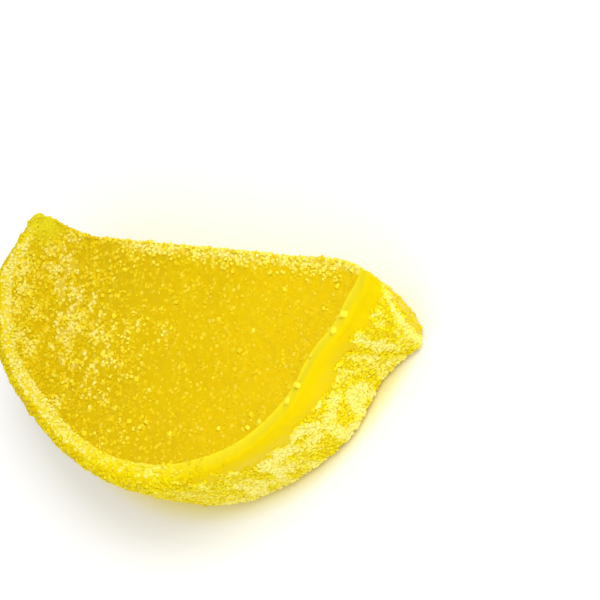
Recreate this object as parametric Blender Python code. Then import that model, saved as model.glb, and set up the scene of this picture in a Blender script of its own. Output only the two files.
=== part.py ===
"""A fruit slice candy: a half-moon cut from a log of cast jelly and rolled in sugar.

Three cast layers show at the cut face and run through the slice: the clear centre, a thin
pale layer round it and a bright outer layer round the arc. The slice lies on its back.
X runs along the straight side, the arc bulges towards -Y and the cut face looks up, +Z.
Sizes are in millimetres, measured from the middle of the straight side, and become metres
when a mesh is made. The origin is on the table, under the middle of the whole slice.
"""

import math
import random

import bmesh
import bpy
from mathutils import Euler, Matrix, Vector, noise
from mathutils.bvhtree import BVHTree

MM = 0.001
MERGE_DISTANCE = 0.001

# The arc, as a radius for each angle: 0 is the right end, 90 the lowest point of the arc
# and 180 the left end. Each swelling is (angle, spread in degrees, height in millimetres).
OUTER_RADIUS = 23.85
OUTER_SWELLINGS = ((148, 14, 0.7), (50, 22, -0.9), (26, 11, -1.9), (3, 5, 0.4))

# The pale and the outer layer together, from the clear centre out to the skin.
RING_WIDTH = 2.65
RING_SWELLINGS = ((57, 12, -0.45), (25, 16, -0.5), (8, 9, 0.7))
PALE_WIDTH = 0.95
LAYER_GAP = 0.3

# Heights above the back face.
RIM_HEIGHT = 10.2
JELLY_EDGE_HEIGHT = 9.85
JELLY_MIDDLE_HEIGHT = 9.35
STRAIGHT_LIP_HEIGHT = 0.25
STRAIGHT_LIP_WIDTH = 1.6
SHOULDER_DROP = 1.5
BACK_EDGE_LIFT = 0.5
WALL_BULGE = 0.15

# The left end: its corner is cut off on a slant, and by the face it rises to a horn.
LEFT_END_START = -13.0
LEFT_END_LENGTH = 8.0
LEFT_END_LIFT = 0.5
LEFT_CORNER_INSET = 3.0
LEFT_CORNER_DEPTH = 5.5
LEFT_CORNER_ROUND = 0.9
LEFT_CORNER_ROUND_DEPTH = 1.6
HORN_X = -17.9
HORN_SPREAD = 3.4
HORN_HEIGHT = 1.65
HORN_DEPTH = 6.0

# The right end: its corner falls back from the straight side, most at the back face.
RIGHT_END_X = 24.3
RIGHT_FACE_START = 18.5
RIGHT_BACK_START = 13.5
RIGHT_FACE_FALL = 1.9
RIGHT_BACK_FALL = 4.8
RIGHT_BACK_TUCK = 1.2
RIGHT_CORNER_DEPTH = 9.0

# Low lumps in the cast surface.
LUMP_SIZE = 5.0
LUMP_HEIGHT = 0.13

# The point under the middle of the slice, which becomes the origin.
MIDDLE_X = 0.3
MIDDLE_Y = -11.45

# The largest sugar crystals, which are rough blocks. A crystal's longest edge is between
# the two edges given, and crystals lie at least the spacing apart.
SEED = 7
JELLY_CRYSTALS = {"edges": (0.5, 0.85), "spacing": 1.9, "most": 230}
PALE_CRYSTALS = {"edges": (0.42, 0.58), "spacing": 1.9, "most": 30}
OUTER_CRYSTALS = {"edges": (0.6, 1.0), "spacing": 1.65, "most": 240}
CRYSTAL_SHORTEST = 0.7
CRYSTAL_PROUD = 0.12
CRYSTAL_REACH = 0.5 * math.sqrt(3) + CRYSTAL_PROUD
CRYSTAL_CLEARANCE = 0.1
SPOTS_TRIED_PER_CRYSTAL = 60

AMBER = (0.74, 0.5, 0.0)
CREAM = (0.94, 0.84, 0.2)
LEMON = (0.93, 0.75, 0.0)


def bump(value, middle, spread):
    """A smooth rise to 1 at the middle, almost gone two spreads away."""
    return math.exp(-(((value - middle) / spread) ** 2))


def step(value):
    """A smooth step from 0 at 0 to 1 at 1."""
    value = min(1.0, max(0.0, value))
    return value * value * (3 - 2 * value)


def mix(first, second, share):
    return first + (second - first) * share


def swelling(angle, swellings):
    return sum(height * bump(angle, middle, spread) for middle, spread, height in swellings)


def outer_radius(angle):
    """The skin of the slice."""
    return OUTER_RADIUS + swelling(angle, OUTER_SWELLINGS)


def jelly_radius(angle):
    """The clear centre's edge."""
    return outer_radius(angle) - RING_WIDTH - swelling(angle, RING_SWELLINGS)


def pale_inner_radius(angle):
    return jelly_radius(angle) + LAYER_GAP


def pale_outer_radius(angle):
    return pale_inner_radius(angle) + PALE_WIDTH


def outer_inner_radius(angle):
    return pale_outer_radius(angle) + LAYER_GAP


def jelly_top(across, depth):
    """The centre's face is dished: it sank as it set, but clings to its edges."""
    dished = mix(JELLY_MIDDLE_HEIGHT, JELLY_EDGE_HEIGHT, across**7)
    return dished + STRAIGHT_LIP_HEIGHT * bump(depth, 0.0, STRAIGHT_LIP_WIDTH)


def pale_top(across, depth):
    """The pale layer climbs from the centre's edge to the rim."""
    return mix(JELLY_EDGE_HEIGHT, RIM_HEIGHT, step(across))


def outer_top(across, depth):
    """The outer layer has a round shoulder from the rim down to the wall."""
    return RIM_HEIGHT - SHOULDER_DROP * (1 - math.sqrt(1 - across**2))


def flat_bottom(across):
    return 0.0


def outer_bottom(across):
    """Flat, with a small round edge to the wall."""
    return BACK_EDGE_LIFT * step(across * 3 - 2)


def shape_left_end(x, y, z):
    height = z / RIM_HEIGHT
    amount = step((LEFT_END_START - x) / LEFT_END_LENGTH)
    x += LEFT_CORNER_INSET * amount * step(1 + y / LEFT_CORNER_DEPTH)
    x += LEFT_CORNER_ROUND * amount * max(0.0, 1 + y / LEFT_CORNER_ROUND_DEPTH) ** 2
    horn = HORN_HEIGHT * height**2 * bump(x, HORN_X, HORN_SPREAD)
    y += horn * step(1 + y / HORN_DEPTH)
    return x, y, z + LEFT_END_LIFT * amount * height


def shape_right_end(x, y, z):
    height = min(1.0, z / RIM_HEIGHT)
    start = mix(RIGHT_BACK_START, RIGHT_FACE_START, height)
    amount = max(0.0, (x - start) / (RIGHT_END_X - start)) ** 2 * step(1 + y / RIGHT_CORNER_DEPTH)
    y -= mix(RIGHT_BACK_FALL, RIGHT_FACE_FALL, height) * amount
    return x - RIGHT_BACK_TUCK * (1 - height) * amount, y, z


def lump(point):
    """How far the cast surface stands out at a point."""
    return LUMP_HEIGHT * noise.noise(point / LUMP_SIZE)


def spin_section(across_cells, turn_steps, height_cells):
    """A square section, spun half a turn about an axis one width from its inner edge.

    An angle, a place across the layer and a height can be read back from every vertex.
    """
    mesh = bmesh.new()
    bmesh.ops.create_grid(mesh, x_segments=across_cells, y_segments=height_cells, size=0.5)
    stand_up = Matrix.Translation((1.5, 0, 0.5)) @ Matrix.Rotation(math.radians(90), 4, "X")
    bmesh.ops.transform(mesh, matrix=stand_up, verts=mesh.verts)
    section = mesh.verts[:] + mesh.edges[:] + mesh.faces[:]
    bmesh.ops.spin(
        mesh, geom=section, cent=(0, 0, 0), axis=(0, 0, 1), angle=-math.pi, steps=turn_steps
    )
    return mesh


def shape_layer(mesh, inner, outer, top, bottom, skin=0.0):
    """Gives a spun section its layer's width, heights and uneven ends.

    A skin of 1 lets the layer's outer wall bulge and carry lumps.
    """
    for vertex in mesh.verts:
        across = min(1.0, max(0.0, vertex.co.xy.length - 1.0))
        turn = max(0.0, math.atan2(-vertex.co.y, vertex.co.x) % math.tau)
        turn = 0.0 if turn > 1.5 * math.pi else turn
        angle = math.degrees(turn)
        radius = mix(inner(angle), outer(angle), across)
        height = mix(bottom(across), top(across, radius * math.sin(turn)), vertex.co.z)
        radius += skin * across * WALL_BULGE * math.sin(math.pi * vertex.co.z)
        place = radius * math.cos(turn), -radius * math.sin(turn), height
        point = Vector(shape_right_end(*shape_left_end(*place)))
        point.z += lump(point) * step(vertex.co.z)
        point.xy += point.xy.normalized() * skin * across * lump(point)
        vertex.co = point


def finish_layer(mesh, name, colour, roughness):
    """Closes the mesh, moves it to the origin in metres and makes it an object."""
    bmesh.ops.remove_doubles(mesh, verts=mesh.verts, dist=MERGE_DISTANCE)
    bmesh.ops.recalc_face_normals(mesh, faces=mesh.faces)
    back = [edge for edge in mesh.edges if max(end.co.z for end in edge.verts) < MERGE_DISTANCE]
    bmesh.ops.dissolve_limit(mesh, angle_limit=math.radians(0.1), verts=[], edges=back)
    bmesh.ops.triangulate(mesh, faces=mesh.faces)
    to_origin = Matrix.Scale(MM, 4) @ Matrix.Translation((-MIDDLE_X, -MIDDLE_Y, 0))
    bmesh.ops.transform(mesh, matrix=to_origin, verts=mesh.verts)
    data = bpy.data.meshes.new(name)
    mesh.to_mesh(data)
    mesh.free()
    data.materials.append(jelly_material(name, colour, roughness))
    layer = bpy.data.objects.new(name, data)
    bpy.context.scene.collection.objects.link(layer)
    return layer


def jelly_material(name, colour, roughness):
    made = bpy.data.materials.new(name)
    made.use_nodes = True
    shader = made.node_tree.nodes["Principled BSDF"]
    shader.inputs["Base Color"].default_value = (*colour, 1.0)
    shader.inputs["Roughness"].default_value = roughness
    shader.inputs["Metallic"].default_value = 0.0
    return made


def make_centre():
    """The clear jelly centre, spun from the middle of the straight side."""
    mesh = spin_section(across_cells=9, turn_steps=30, height_cells=2)
    shape_layer(mesh, lambda angle: 0.0, jelly_radius, jelly_top, flat_bottom)
    return finish_layer(mesh, "centre_jelly", AMBER, 0.35)


def make_pale_layer():
    """The thin pale strip that stands between the centre and the outer layer."""
    mesh = spin_section(across_cells=2, turn_steps=40, height_cells=1)
    shape_layer(mesh, pale_inner_radius, pale_outer_radius, pale_top, flat_bottom)
    return finish_layer(mesh, "pale_layer", CREAM, 0.45)


def make_outer_layer():
    """The bright layer round the arc."""
    mesh = spin_section(across_cells=4, turn_steps=50, height_cells=4)
    shape_layer(mesh, outer_inner_radius, outer_radius, outer_top, outer_bottom, skin=1.0)
    return finish_layer(mesh, "outer_layer", LEMON, 0.4)


def crystal_block():
    """The mesh that all crystals share, 1 long on each side."""
    mesh = bmesh.new()
    bmesh.ops.create_cube(mesh, size=1.0)
    data = bpy.data.meshes.new("crystal")
    mesh.to_mesh(data)
    mesh.free()
    return data


def search_tree(layer):
    corners = [vertex.co for vertex in layer.data.vertices]
    return BVHTree.FromPolygons(corners, [face.vertices for face in layer.data.polygons])


def crystal_spots(layer, neighbours, chance, edges, spacing, most):
    """Evenly spread places on a layer, as (place, face normal, longest edge), in metres.

    Each leaves its crystal clear of the other crystals, the neighbours and the table.
    """
    points = layer.data.vertices
    shown = [face for face in layer.data.polygons if face.normal.z > -0.5]
    areas = [face.area for face in shown]
    spots = []
    for face in chance.choices(shown, areas, k=SPOTS_TRIED_PER_CRYSTAL * most):
        first, second = sorted((chance.random(), chance.random()))
        shares = first, second - first, 1 - second
        corners = [points[index].co * share for index, share in zip(face.vertices, shares)]
        place = sum(corners, Vector())
        edge = chance.uniform(*edges) * MM
        room = edge * CRYSTAL_REACH + CRYSTAL_CLEARANCE * MM
        crowded = any((place - other).length < spacing * MM for other, _, _ in spots)
        touching = any(tree.find_nearest(place)[3] < room for tree in neighbours)
        if place.z > room and not crowded and not touching and len(spots) < most:
            spots.append((place, face.normal.copy(), edge))
    return spots


def scatter_crystals(layer, neighbours, chance, edges, spacing, most):
    """A collection of crystals, each half sunk in the layer."""
    block = crystal_block()
    crystals = bpy.data.collections.new("crystals")
    bpy.context.scene.collection.children.link(crystals)
    trees = [search_tree(neighbour) for neighbour in neighbours]
    for place, normal, edge in crystal_spots(layer, trees, chance, edges, spacing, most):
        crystal = bpy.data.objects.new("crystal", block)
        turn = Euler([chance.uniform(0, math.tau) for _ in range(3)])
        size = Vector([edge * chance.uniform(CRYSTAL_SHORTEST, 1.0) for _ in range(3)])
        middle = place + normal * edge * CRYSTAL_PROUD
        crystal.matrix_world = Matrix.LocRotScale(middle, turn, size)
        crystals.objects.link(crystal)
    return crystals


def fuse(layer, crystals):
    """Joins the crystals to their layer with one union, then removes them."""
    union = layer.modifiers.new("crystals", "BOOLEAN")
    union.operation = "UNION"
    union.operand_type = "COLLECTION"
    union.collection = crystals
    union.solver = "EXACT"
    bpy.context.view_layer.update()
    evaluated = layer.evaluated_get(bpy.context.evaluated_depsgraph_get())
    joined = bpy.data.meshes.new_from_object(evaluated)
    layer.modifiers.clear()
    layer.data = joined
    for crystal in list(crystals.objects):
        bpy.data.objects.remove(crystal)
    bpy.data.collections.remove(crystals)


def clear_scene():
    for old in list(bpy.data.objects):
        bpy.data.objects.remove(old)


def main():
    clear_scene()
    chance = random.Random(SEED)
    centre = make_centre()
    pale = make_pale_layer()
    outer = make_outer_layer()
    fuse(centre, scatter_crystals(centre, [pale], chance, **JELLY_CRYSTALS))
    fuse(outer, scatter_crystals(outer, [pale], chance, **OUTER_CRYSTALS))
    fuse(pale, scatter_crystals(pale, [centre, outer], chance, **PALE_CRYSTALS))


main()
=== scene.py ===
# %% [markdown]
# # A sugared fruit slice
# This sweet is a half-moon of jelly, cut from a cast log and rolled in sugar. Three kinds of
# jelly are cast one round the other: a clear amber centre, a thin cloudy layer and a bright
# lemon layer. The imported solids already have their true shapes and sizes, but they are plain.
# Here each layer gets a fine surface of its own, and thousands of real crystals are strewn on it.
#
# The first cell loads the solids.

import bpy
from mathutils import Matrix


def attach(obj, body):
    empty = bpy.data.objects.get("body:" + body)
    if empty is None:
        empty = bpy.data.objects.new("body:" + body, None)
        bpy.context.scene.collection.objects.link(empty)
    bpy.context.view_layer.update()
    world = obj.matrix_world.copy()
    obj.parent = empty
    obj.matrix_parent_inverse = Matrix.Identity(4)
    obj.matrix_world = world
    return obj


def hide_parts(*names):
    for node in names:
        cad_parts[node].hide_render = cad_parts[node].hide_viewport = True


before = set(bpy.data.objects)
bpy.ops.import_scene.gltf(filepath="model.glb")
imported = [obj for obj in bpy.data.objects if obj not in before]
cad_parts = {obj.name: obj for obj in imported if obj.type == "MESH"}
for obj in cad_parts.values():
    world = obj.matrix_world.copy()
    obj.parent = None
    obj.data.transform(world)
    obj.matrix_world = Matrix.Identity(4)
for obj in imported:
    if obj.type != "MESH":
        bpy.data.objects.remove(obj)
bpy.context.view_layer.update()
print("solids:", ", ".join(sorted(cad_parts)))

# %% [markdown]
# bmesh builds and bends meshes, and mathutils gives vectors, turns and smooth noise. Lengths are
# written in millimetres. MM makes them metres, which are the units of the scene.

# %% Blender's modules
import math

import bmesh
import bpy
from mathutils import Euler, Matrix, Quaternion, Vector, noise

MM = 0.001
print("Blender", bpy.app.version_string)

# %% [markdown]
# ## The shape of the slice
# The fine layers must lie where the solids lie, so the outline of the slice is written down once
# more. It could be drawn by hand, but formulas are easier to match to a real sweet. Every
# swelling in them is made from three small curves: a bump, a smooth step and a mix of two values.

# %% Curves that the shapes share
def bump(value, middle, spread):
    """A smooth rise to 1 at the middle, almost gone two spreads away."""
    return math.exp(-(((value - middle) / spread) ** 2))


def step(value):
    """A smooth step from 0 at 0 to 1 at 1."""
    value = min(1.0, max(0.0, value))
    return value * value * (3 - 2 * value)


def mix(first, second, share):
    return first + (second - first) * share


print("a bump, one spread off its middle:", round(bump(1, 0, 1), 2))

# %% [markdown]
# The plan is a radius for each angle round the arc: 0 degrees is the right end, 90 the lowest
# point and 180 the left end. Radii are measured from the middle of the straight side. A plain
# half circle would look machine-made, so a few swellings make it as uneven as the real one.

# %% The plan: a radius for each angle
OUTER_RADIUS = 23.85
RING_WIDTH = 2.65
PALE_WIDTH = 1.25
# The solids stand 0.3 mm apart. Here they meet in the middle of that gap.
HALF_GAP = 0.15
# Each swelling is the angle of its middle, its spread in degrees and its height.
OUTER_SWELLINGS = ((148, 14, 0.7), (50, 22, -0.9), (26, 11, -1.9), (3, 5, 0.4))
RING_SWELLINGS = ((57, 12, -0.45), (25, 16, -0.5), (8, 9, 0.7))


def swelling(angle, swellings):
    return sum(height * bump(angle, middle, spread) for middle, spread, height in swellings)


def outer_radius(angle):
    return OUTER_RADIUS + swelling(angle, OUTER_SWELLINGS)


def jelly_radius(angle):
    return outer_radius(angle) - RING_WIDTH - swelling(angle, RING_SWELLINGS) + HALF_GAP


def pale_radius(angle):
    return jelly_radius(angle) + PALE_WIDTH


print("outer radius at the lowest point:", round(outer_radius(90), 2), "mm")

# %% [markdown]
# The heights are formulas too. Set jelly shrinks, so the centre is dished, with a low lip along
# the straight side. The outer layer keeps the round shoulder that its mould gave it.

# %% The heights: a dished face, a rim and a round shoulder
RIM_HEIGHT = 10.2
JELLY_EDGE_HEIGHT = 9.85
JELLY_MIDDLE_HEIGHT = 9.35
# The higher this power, the flatter the middle of the face and the steeper its edge.
DISH_POWER = 7
LIP_HEIGHT = 0.25
LIP_WIDTH = 1.6
SHOULDER_DROP = 1.5
BACK_LIFT = 0.22
BACK_EDGE_LIFT = 0.5


def centre_top(across, depth):
    dished = mix(JELLY_MIDDLE_HEIGHT, JELLY_EDGE_HEIGHT, across**DISH_POWER)
    return dished + LIP_HEIGHT * bump(depth, 0.0, LIP_WIDTH)


def pale_top(across, depth):
    return mix(JELLY_EDGE_HEIGHT, RIM_HEIGHT, step(across))


def outer_top(across, depth):
    return RIM_HEIGHT - SHOULDER_DROP * (1 - math.sqrt(1 - across**2))


def flat_bottom(across):
    return BACK_LIFT


def outer_bottom(across):
    """The outer third of the back edge is lifted, as a cast edge is never sharp."""
    return BACK_LIFT + BACK_EDGE_LIFT * step(across * 3 - 2)


print("the face is dished by", round(JELLY_EDGE_HEIGHT - JELLY_MIDDLE_HEIGHT, 2), "mm")

# %% [markdown]
# The two ends are uneven, as hand-cut sweets are. The left corner is cut on a slant and rises to
# a small horn, and the right corner falls back, most of all at the back of the slice. A lattice
# could bend the ends, but two functions that move a point bend all three layers alike.

# %% The uneven ends
LEFT_END_START = -13.0
LEFT_END_LENGTH = 8.0
LEFT_END_LIFT = 0.5
LEFT_CORNER_INSET = 3.0
LEFT_CORNER_DEPTH = 5.5
LEFT_CORNER_ROUND = 0.9
LEFT_CORNER_ROUND_DEPTH = 1.6
HORN_X = -17.9
HORN_SPREAD = 3.4
HORN_HEIGHT = 1.65
HORN_DEPTH = 6.0
RIGHT_END_X = 24.3
RIGHT_FACE_START = 18.5
RIGHT_BACK_START = 13.5
RIGHT_FACE_FALL = 1.9
RIGHT_BACK_FALL = 4.8
RIGHT_BACK_TUCK = 1.2
RIGHT_CORNER_DEPTH = 9.0


def shape_left_end(x, y, z):
    height = z / RIM_HEIGHT
    amount = step((LEFT_END_START - x) / LEFT_END_LENGTH)
    x += LEFT_CORNER_INSET * amount * step(1 + y / LEFT_CORNER_DEPTH)
    x += LEFT_CORNER_ROUND * amount * max(0.0, 1 + y / LEFT_CORNER_ROUND_DEPTH) ** 2
    horn = HORN_HEIGHT * height**2 * bump(x, HORN_X, HORN_SPREAD)
    y += horn * step(1 + y / HORN_DEPTH)
    return x, y, z + LEFT_END_LIFT * amount * height


def shape_right_end(x, y, z):
    height = min(1.0, z / RIM_HEIGHT)
    start = mix(RIGHT_BACK_START, RIGHT_FACE_START, height)
    amount = max(0.0, (x - start) / (RIGHT_END_X - start)) ** 2 * step(1 + y / RIGHT_CORNER_DEPTH)
    y -= mix(RIGHT_BACK_FALL, RIGHT_FACE_FALL, height) * amount
    return x - RIGHT_BACK_TUCK * (1 - height) * amount, y, z


def shape_ends(place):
    return Vector(shape_right_end(*shape_left_end(*place)))


right_end = shape_ends((outer_radius(0), 0.0, RIM_HEIGHT))
print("the right end moves to", [round(value, 1) for value in right_end])

# %% [markdown]
# ## One section, spun half a turn
# All three layers are the same idea: a square section swept round the arc. A grid of cells is
# stood on edge one width from the axis and spun by half a turn, which closes itself at both ends.
# A curve with a bevel could do it too, but in a spun grid each vertex still tells three things:
# how far it is across the layer, how high it is in the slice and at which angle it is. They are
# stored on the mesh, because the shape, the sugar and the colours all follow them.
#
# A spin gives its faces in another order each run. The sugar is strewn face by face, so they are
# sorted by their vertices, and every run gives the same slice.

# %% Where a vertex is in the section
def across_of(place):
    return min(1.0, max(0.0, place.xy.length - 1.0))


def level_of(place):
    return place.z


def angle_of(place):
    turn = math.degrees(math.atan2(-place.y, place.x)) % 360
    return 0.0 if turn > 270 else turn


print("straight down is at", angle_of(Vector((0.0, -1.0, 0.0))), "degrees")

# %% Spin a section
TURN_STEPS = 300
HEIGHT_CELLS = 40


def put_faces_in_order(mesh):
    mesh.verts.index_update()
    in_order = sorted(mesh.faces, key=lambda face: sorted(vertex.index for vertex in face.verts))
    for number, face in enumerate(in_order):
        face.index = number
    mesh.faces.sort()


def spin_section(across_cells):
    mesh = bmesh.new()
    bmesh.ops.create_grid(mesh, x_segments=across_cells, y_segments=HEIGHT_CELLS, size=0.5)
    stand_up = Matrix.Translation((1.5, 0, 0.5)) @ Matrix.Rotation(math.radians(90), 4, "X")
    bmesh.ops.transform(mesh, matrix=stand_up, verts=mesh.verts)
    section = mesh.verts[:] + mesh.edges[:] + mesh.faces[:]
    bmesh.ops.spin(
        mesh, geom=section, cent=(0, 0, 0), axis=(0, 0, 1), angle=-math.pi, steps=TURN_STEPS
    )
    put_faces_in_order(mesh)
    for name, value in (("across", across_of), ("level", level_of), ("angle", angle_of)):
        layer = mesh.verts.layers.float.new(name)
        for vertex in mesh.verts:
            vertex[layer] = value(vertex.co)
    return mesh


print("each step of the spin turns", 180 / TURN_STEPS, "degrees")

# %% [markdown]
# Real jelly is never as smooth as its mould. It has low lumps some millimetres wide, and where
# sugar was pressed in, dimples about as wide as the grains. A bump map would vanish at the
# outline, so both move the mesh itself, by noise.

# %% Lumps and dimples
LUMP_SIZE = 5.0
LUMP_HEIGHT = 0.13
DIMPLE_SIZE = 0.9
DIMPLE_HEIGHT = 0.07


def relief(point):
    lumps = LUMP_HEIGHT * noise.noise(point / LUMP_SIZE)
    return lumps + DIMPLE_HEIGHT * noise.noise(point / DIMPLE_SIZE)


print("lumps and dimples reach", round(LUMP_HEIGHT + DIMPLE_HEIGHT, 2), "mm at most")

# %% [markdown]
# A spun section becomes a layer when each vertex is put at its radius and height, moved with the
# uneven ends, and then lifted by the relief: up on the face, and outwards on the straight side
# and the wall. The back stays flat, because the slice lies on it.

# %% Shape a layer
WALL_BULGE = 0.15
CUT_SIDE_REACH = 1.2
MERGE_DISTANCE = 0.001


def shape_layer(mesh, inner, outer, top, bottom, skin=0.0):
    """skin is 1 for the outer layer, whose outside is a bulging wall, and 0 for the others."""
    layers = mesh.verts.layers.float
    for vertex in mesh.verts:
        across, level, angle = (vertex[layers[name]] for name in ("across", "level", "angle"))
        turn = math.radians(angle)
        if skin:
            # The cells get narrower towards the wall, where the shoulder bends most.
            across = math.sin(across * math.pi / 2)
        radius = mix(inner(angle), outer(angle), across)
        height = mix(bottom(across), top(across, radius * math.sin(turn)), level)
        radius += skin * across * WALL_BULGE * math.sin(math.pi * level)
        point = shape_ends((radius * math.cos(turn), -radius * math.sin(turn), height))
        moved = relief(point)
        near_cut_side = 1 - step(radius * math.sin(turn) / CUT_SIDE_REACH)
        point.z += moved * step(level)
        point.y += moved * near_cut_side
        point.xy += point.xy.normalized() * skin * across * moved
        vertex.co = point
    bmesh.ops.remove_doubles(mesh, verts=mesh.verts, dist=MERGE_DISTANCE)
    bmesh.ops.recalc_face_normals(mesh, faces=mesh.faces)


print("the wall bulges by", WALL_BULGE, "mm")

# %% [markdown]
# The slice was made in millimetres from the middle of its straight side. Its origin is under the
# middle of the whole slice, so each mesh is moved and scaled once, inside the mesh: the objects
# themselves stay at the origin. Faces are shaded smooth, but an edge that turns by more than 50
# degrees stays sharp.

# %% From a bmesh to a piece
MIDDLE = Vector((0.3, -11.45, 0.0))
TO_ORIGIN = Matrix.Scale(MM, 4) @ Matrix.Translation(-MIDDLE)
SHARP_FROM = math.radians(50)


def as_object(mesh, name):
    data = bpy.data.meshes.new(name)
    mesh.to_mesh(data)
    mesh.free()
    made = bpy.data.objects.new(name, data)
    bpy.context.scene.collection.objects.link(made)
    return made


def as_piece(mesh, name):
    bmesh.ops.transform(mesh, matrix=TO_ORIGIN, verts=mesh.verts)
    piece = as_object(mesh, name)
    piece.data.shade_smooth()
    piece.data.set_sharp_from_angle(angle=SHARP_FROM)
    return piece


print("the origin lies", -MIDDLE.y, "mm in from the straight side")

# %% [markdown]
# ## Where the sugar lies
# Sugar sticks where the jelly is wet and is rubbed off where the sweet is handled. On this one
# the left part of the face and the lower wall carry most, the right part of the rim is bare, and
# dry sugar has gathered in pale patches. A painted mask could hold that, but here each vertex
# works it out: four amounts between 0 and 1 are stored on each layer, for fine grains, coarse
# crystals and loose dry grains, and for how white the sugar and the jelly under it look. The
# patches that stand out are listed one by one, and noise breaks up their edges.

# %% Clouds of sugar
PATCH_SIZE = 2.6
FACE_CLUMPS = 0.75
WALL_CLUMPS = 1.3
WALL_STRETCH = 0.45
HORN_FADE = 1.2
HORN_LOSS = 0.4


def cloud(point, size):
    """Noise between 0 and 1 with clouds of a size in millimetres."""
    return step(0.5 + 1.1 * noise.noise(point / size))


def clumps(point, size):
    """Clumps of grains, about a millimetre wide, that gather in wider clouds."""
    return step(1.5 * cloud(point, size) * mix(0.35, 1.0, cloud(point, PATCH_SIZE)))


def on_wall(point):
    """Clumps on the wall hang down it, so they are stretched in height."""
    return Vector((point.x, point.y, WALL_STRETCH * point.z))


def patch(point, places):
    """How deep a point lies in the nearest of some round patches."""
    return max(bump((point.xy - Vector(place[:2])).length, 0, place[2]) for place in places)


def on_horn(point):
    """1 on the horn, which stands past the straight side and keeps little sugar."""
    return step(point.y / HORN_FADE)


print("clumps are", FACE_CLUMPS, "mm wide on the face and", WALL_CLUMPS, "mm on the wall")

# %% [markdown]
# On the centre, sugar thickens towards the left end. The lip along the straight side holds a
# white line of it, and dry patches stand out, which are placed one by one.

# %% The amounts of sugar on the centre
# Each patch is its x and y on the face and its spread, in millimetres.
FACE_PATCHES = (
    (-19.8, -3.8, 1.5),
    (-19.3, -5.8, 1.3),
    (-19.7, -7.9, 1.3),
    (-16.3, -4.0, 1.0),
    (-17.0, -11.5, 1.4),
    (-12.0, -8.3, 1.5),
    (-9.2, -9.6, 1.3),
    (-12.3, -11.6, 1.2),
    (-17.0, -1.6, 1.2),
    (-4.0, -8.2, 0.7),
    (-0.5, -8.6, 0.8),
    (-12.2, -16.7, 1.1),
    (-18.6, -10.6, 1.0),
    (-17.2, -8.0, 0.9),
)
SUGARED_FROM = 1
SUGARED_LENGTH = 13
CLEAR_BAY = 5
CLEAR_BAY_Y = -3.0
CLEAR_BAY_SPREAD = 3.0
LIP_Y = -0.5
LIP_SPREAD = 0.9
LIP_FROM = -12
LIP_FADE = 6
RING_NEAR = 0.82
RING_FADE = 0.1
THICK_FROM = -16.5
THICK_FADE = 2


def left_of_face(point):
    """0 on the clear right part and 1 on the left part. Under the lip the clear part reaches
    further left, in a bay."""
    bay = CLEAR_BAY * bump(point.y, CLEAR_BAY_Y, CLEAR_BAY_SPREAD)
    return step((SUGARED_FROM - point.x - bay) / SUGARED_LENGTH)


def near_ring(across, angle):
    """1 just inside the ring, where the left part of the face has less loose sugar."""
    return step((across - RING_NEAR) / RING_FADE) * step((angle - 90) / 30)


def sugar_on_centre(point, across, level, angle):
    left = left_of_face(point)
    off_horn = 1 - on_horn(point)
    lip = bump(point.y, LIP_Y, LIP_SPREAD) * step((point.x - LIP_FROM) / LIP_FADE)
    by_hand = patch(point, FACE_PATCHES)
    scattered = left * clumps(point, FACE_CLUMPS) * (1 - 0.7 * near_ring(across, angle))
    # Between its clumps the left part is wet, and shows less white than the right part.
    least = mix(0.4, 0.1, left)
    placed = 0.9 * max(by_hand, lip) * mix(0.7, 1.0, cloud(point, FACE_CLUMPS))
    white = max(least, mix(least, 0.8, scattered), placed) * off_horn
    # The clear right part keeps a third of the fine grains and a fifth of the coarse ones.
    fine = mix(0.35, 1.0, max(left, lip)) * (1 - HORN_LOSS * on_horn(point))
    coarse = mix(0.035, 0.16, left) * off_horn
    # Loose grains lie thickest at the left end.
    thick = mix(0.4, 0.9, step((THICK_FROM - point.x) / THICK_FADE))
    dry = thick * max(by_hand, lip, 0.6 * scattered) * off_horn
    return fine, coarse, dry, white


print(len(FACE_PATCHES), "patches of sugar on the face")

# %% [markdown]
# The pale layer is bare on the right, where its top was rubbed, and creamy with sugar on the left.

# %% The amounts of sugar on the pale layer
RUBBED_TO = 60
RUBBED_FADE = 30
CREAM_FROM = 105
CREAM_FADE = 20


def rubbed(angle):
    """1 on the bare right part of the rim, 0 on its sugared left part."""
    return 1 - step((angle - RUBBED_TO) / RUBBED_FADE)


def sugar_on_pale(point, across, level, angle):
    # Only the top of the layer shows, so only its top quarter can be rubbed bare.
    cover = (1 - rubbed(angle) * step(level * 4 - 3)) * (1 - HORN_LOSS * on_horn(point))
    cream = step((angle - CREAM_FROM) / CREAM_FADE)
    clumped = mix(mix(0.45, 0.75, cream), mix(0.7, 1.0, cream), clumps(point, FACE_CLUMPS))
    white = mix(clumped, 0.2, rubbed(angle)) * (1 - on_horn(point))
    return 0.7 * cover, 0.1 * cover, 0.4 * cover * white, white


print("the rim is bare up to", RUBBED_TO, "degrees")

# %% [markdown]
# The outer layer is bare on its shoulder and sugared on its wall. At the right end a smooth facet
# meets the round wall in a ridge, where sugar caught in a white line. A point there has moved
# with the fallen corner, so it is asked for its angle in the finished shape.

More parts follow.
